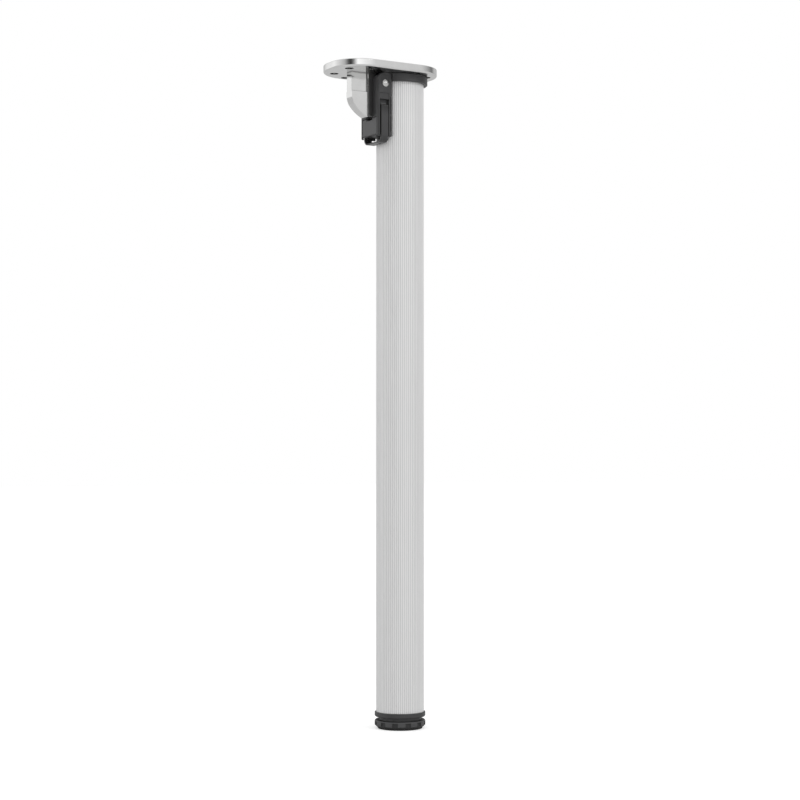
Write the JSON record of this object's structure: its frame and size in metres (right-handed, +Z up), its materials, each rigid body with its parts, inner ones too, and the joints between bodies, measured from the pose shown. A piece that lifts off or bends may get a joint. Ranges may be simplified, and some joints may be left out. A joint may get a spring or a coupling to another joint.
{
  "type": "folding table leg",
  "caption": "Folding table leg with a bright hinge plate and sector, black locking head with a pull strap, fluted aluminium tube and adjustable round foot.",
  "frame": {"origin": "where the leg's axis meets the tabletop: on the mounting plate's top face, above the middle of the tube", "axes": "+Z up, along the tube towards the tabletop; +X along the plate away from the hinge sector; +Y along the hinge pin. The leg folds up towards -X."},
  "size_m": [0.122, 0.075, 0.6905],
  "materials": {
    "plated_casting": "bright nickel plating on a die casting",
    "black_moulding": "fine-grained black plastic",
    "grey_moulding": "smooth dark plastic",
    "fluted_aluminium": "satin anodised, drawn",
    "plated_steel": "bright zinc plating",
    "black_steel": "smooth black lacquer",
    "bearing_brass": "plain turned",
    "pad_rubber": "matt"
  },
  "bodies": {
    "plate": {"mounting_plate": "plated_casting", "sector_liners": "black_moulding", "pivot_bush": "bearing_brass"},
    "leg": {"leg_head": "black_moulding", "pivot_pin": "plated_steel", "spring_pin": "plated_steel", "return_springs": "plated_steel", "leg_tube": "fluted_aluminium", "tube_screws": "plated_steel", "end_insert": "black_moulding", "insert_nut": "plated_steel"},
    "release": {"lock_slide": "grey_moulding", "lock_bolt": "plated_steel", "pull_strap": "black_steel"},
    "glide": {"foot_pad": "pad_rubber"},
    "foot": {"foot_grip": "black_moulding", "foot_stem": "plated_steel", "stem_clip": "plated_steel"}
  },
  "joints": [
    {"name": "leg_fold", "type": "hinge", "parent": "plate", "child": "leg", "pos_m": [-0.0283, 0, -0.0191], "axis": [0, 1, 0], "range_deg": [0, 90]},
    {"name": "strap_pull", "type": "slide", "parent": "leg", "child": "release", "axis": [0, 0, -1], "range_m": [0, 0.005], "stiffness_N_per_m": 3700, "springref_m": -0.002, "deforming": ["return_springs"]},
    {"name": "foot_extend", "type": "slide", "parent": "leg", "child": "glide", "axis": [0, 0, -1], "range_m": [0, 0.02]},
    {"name": "foot_turn", "type": "hinge", "parent": "glide", "child": "foot", "pos_m": [0, 0, -0.6883], "axis": [0, 0, -1], "range_deg": [0, 4800]}
  ],
  "couplings": [
    {"joint": "foot_extend", "follows": "foot_turn", "m_per_rad": 0.00023873}
  ]
}
